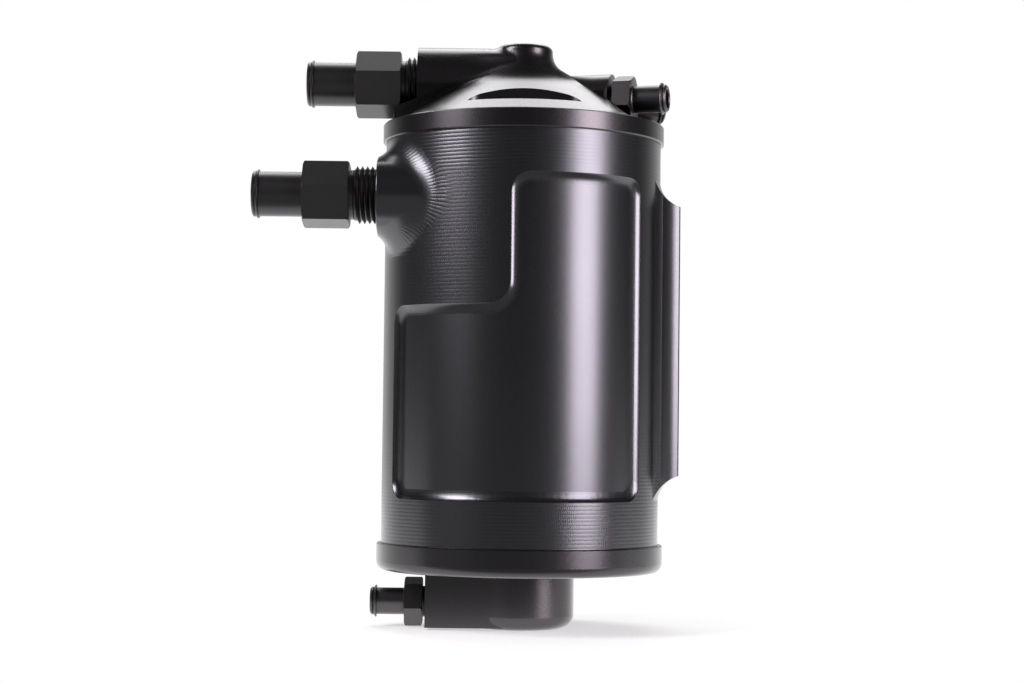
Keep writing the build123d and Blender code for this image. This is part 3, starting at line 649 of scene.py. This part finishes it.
def make_world():
    """White to the camera; metal sees white behind the can and a dark room in front of it."""
    world = bpy.data.worlds.new("studio")
    world.use_nodes = True
    nodes, links = world.node_tree.nodes, world.node_tree.links
    nodes.clear()
    output = nodes.new("ShaderNodeOutputWorld")
    place = nodes.new("ShaderNodeTexCoord")
    split = nodes.new("ShaderNodeSeparateXYZ")
    links.new(place.outputs["Generated"], split.inputs[0])
    depth = nodes.new("ShaderNodeMapRange")
    depth.interpolation_type = "SMOOTHSTEP"
    depth.inputs["From Min"].default_value = 0.35
    depth.inputs["From Max"].default_value = 0.98
    depth.inputs["To Min"].default_value = ROOM_FRONT
    depth.inputs["To Max"].default_value = BACKGROUND_WHITE
    links.new(split.outputs["Y"], depth.inputs["Value"])
    rays = nodes.new("ShaderNodeLightPath")
    room = nodes.new("ShaderNodeBackground")
    links.new(depth.outputs[0], room.inputs["Strength"])
    ambient = nodes.new("ShaderNodeBackground")
    ambient.inputs["Strength"].default_value = ROOM_AMBIENT
    white = nodes.new("ShaderNodeBackground")
    white.inputs["Strength"].default_value = BACKGROUND_WHITE
    for shade in (room, ambient, white):
        shade.inputs["Color"].default_value = (1, 1, 1, 1)
    glossy = nodes.new("ShaderNodeMixShader")
    links.new(rays.outputs["Is Glossy Ray"], glossy.inputs[0])
    links.new(ambient.outputs[0], glossy.inputs[1])
    links.new(room.outputs[0], glossy.inputs[2])
    seen = nodes.new("ShaderNodeMath")
    seen.operation = "MAXIMUM"
    links.new(rays.outputs["Is Camera Ray"], seen.inputs[0])
    links.new(rays.outputs["Is Transmission Ray"], seen.inputs[1])
    direct = nodes.new("ShaderNodeMixShader")
    links.new(seen.outputs[0], direct.inputs[0])
    links.new(glossy.outputs[0], direct.inputs[1])
    links.new(white.outputs[0], direct.inputs[2])
    links.new(direct.outputs[0], output.inputs["Surface"])
    bpy.context.scene.world = world


def make_floor():
    """Plain pale table: white to the camera, with the can's shadow left on it."""
    deselect_all()
    bpy.ops.mesh.primitive_circle_add(vertices=96, radius=FLOOR_RADIUS, fill_type="NGON")
    floor = bpy.context.object
    floor.name = "floor"
    w = Wiring("pale_table")
    x, y, z = w.axes()
    rays = w.node("LightPath")
    away = w.distance(x, y)
    clear = w.ramp(away, CONTACT_RADIUS, CLEAR_RADIUS, CONTACT_SHARE, 1.0)
    seen = w.times(rays.outputs["Is Camera Ray"], clear)
    cloth = w.node("BsdfDiffuse")
    cloth.inputs["Color"].default_value = (0.88, 0.88, 0.88, 1)
    glow = w.node("Emission")
    lit = w.ramp(y, *TABLE_FADE, TABLE_DARK, TABLE_GLOW)
    mirrored = w.times(rays.outputs["Is Glossy Ray"], w.minus(lit, TABLE_WHITE))
    w.feed(glow.inputs["Strength"], w.plus(mirrored, TABLE_WHITE))
    mix = w.node("MixShader")
    w.feed(mix.inputs[0], w.math("MAXIMUM", seen, rays.outputs["Is Glossy Ray"]))
    w.feed(mix.inputs[1], cloth.outputs[0])
    w.feed(mix.inputs[2], glow.outputs[0])
    w.feed(w.output.inputs["Surface"], mix.outputs[0])
    floor.data.materials.append(w.material)


def make_lights():
    """Softboxes: one behind and above, a tall one at the right, a high and a low one at the left."""
    softbox("back_softbox", azimuth=-176, elevation=57, distance=1.1, width=0.95, height=0.60, radiance=4.9)
    softbox(
        "right_softbox",
        azimuth=54.5,
        elevation=8,
        distance=1.1,
        width=0.46,
        height=0.9,
        radiance=13.2,
        colour=(1.0, 0.91, 0.99),
    )
    softbox(
        "left_high_softbox",
        azimuth=-60,
        elevation=30,
        distance=1.1,
        width=0.44,
        height=0.54,
        radiance=16.0,
        colour=(1.0, 0.95, 1.0),
    )
    softbox(
        "left_low_softbox",
        azimuth=-47,
        elevation=11,
        distance=1.2,
        width=0.30,
        height=0.42,
        radiance=0.22,
        colour=(0.93, 0.97, 1.0),
    )


make_camera()
make_world()
make_floor()
make_lights()
bpy.context.scene.view_settings.view_transform = "Standard"

finishes = {
    "body_anodise": milled_body(),
    "cap_anodise": blasted_cap(),
    "fitting_anodise": turned_fitting(),
    "inner_aluminium": bare_aluminium(),
    "wire_mesh": knitted_wire(),
    "inner_steel": zinc_steel(),
    "seal_rubber": seal_rubber(),
}
for part in frame["record"]["subparts"]:
    mesh = frame["nodes"][part["node"]].data
    mesh.materials.clear()
    mesh.materials.append(finishes[part["material_slot"]])

left = Vector((-1, 0, 0))
front_wall, front_way = front_or_rear_port(-1)
rear_wall, rear_way = front_or_rear_port(1)
black = finishes["fitting_anodise"]
hose_tail("inlet_fitting", INLET, INLET_WALL, left, -20.4, black)
hose_tail("outlet_fitting", BREATHER, OUTLET_WALL, left, -14.6, black)
hose_tail("front_port_fitting", SMALL, front_wall, front_way, -10.0, black)
hose_tail("rear_port_fitting", SMALL, rear_wall, rear_way, -10.0, black)
hose_tail("drain_fitting", SMALL, DRAIN_WALL, left, 17.0, black)
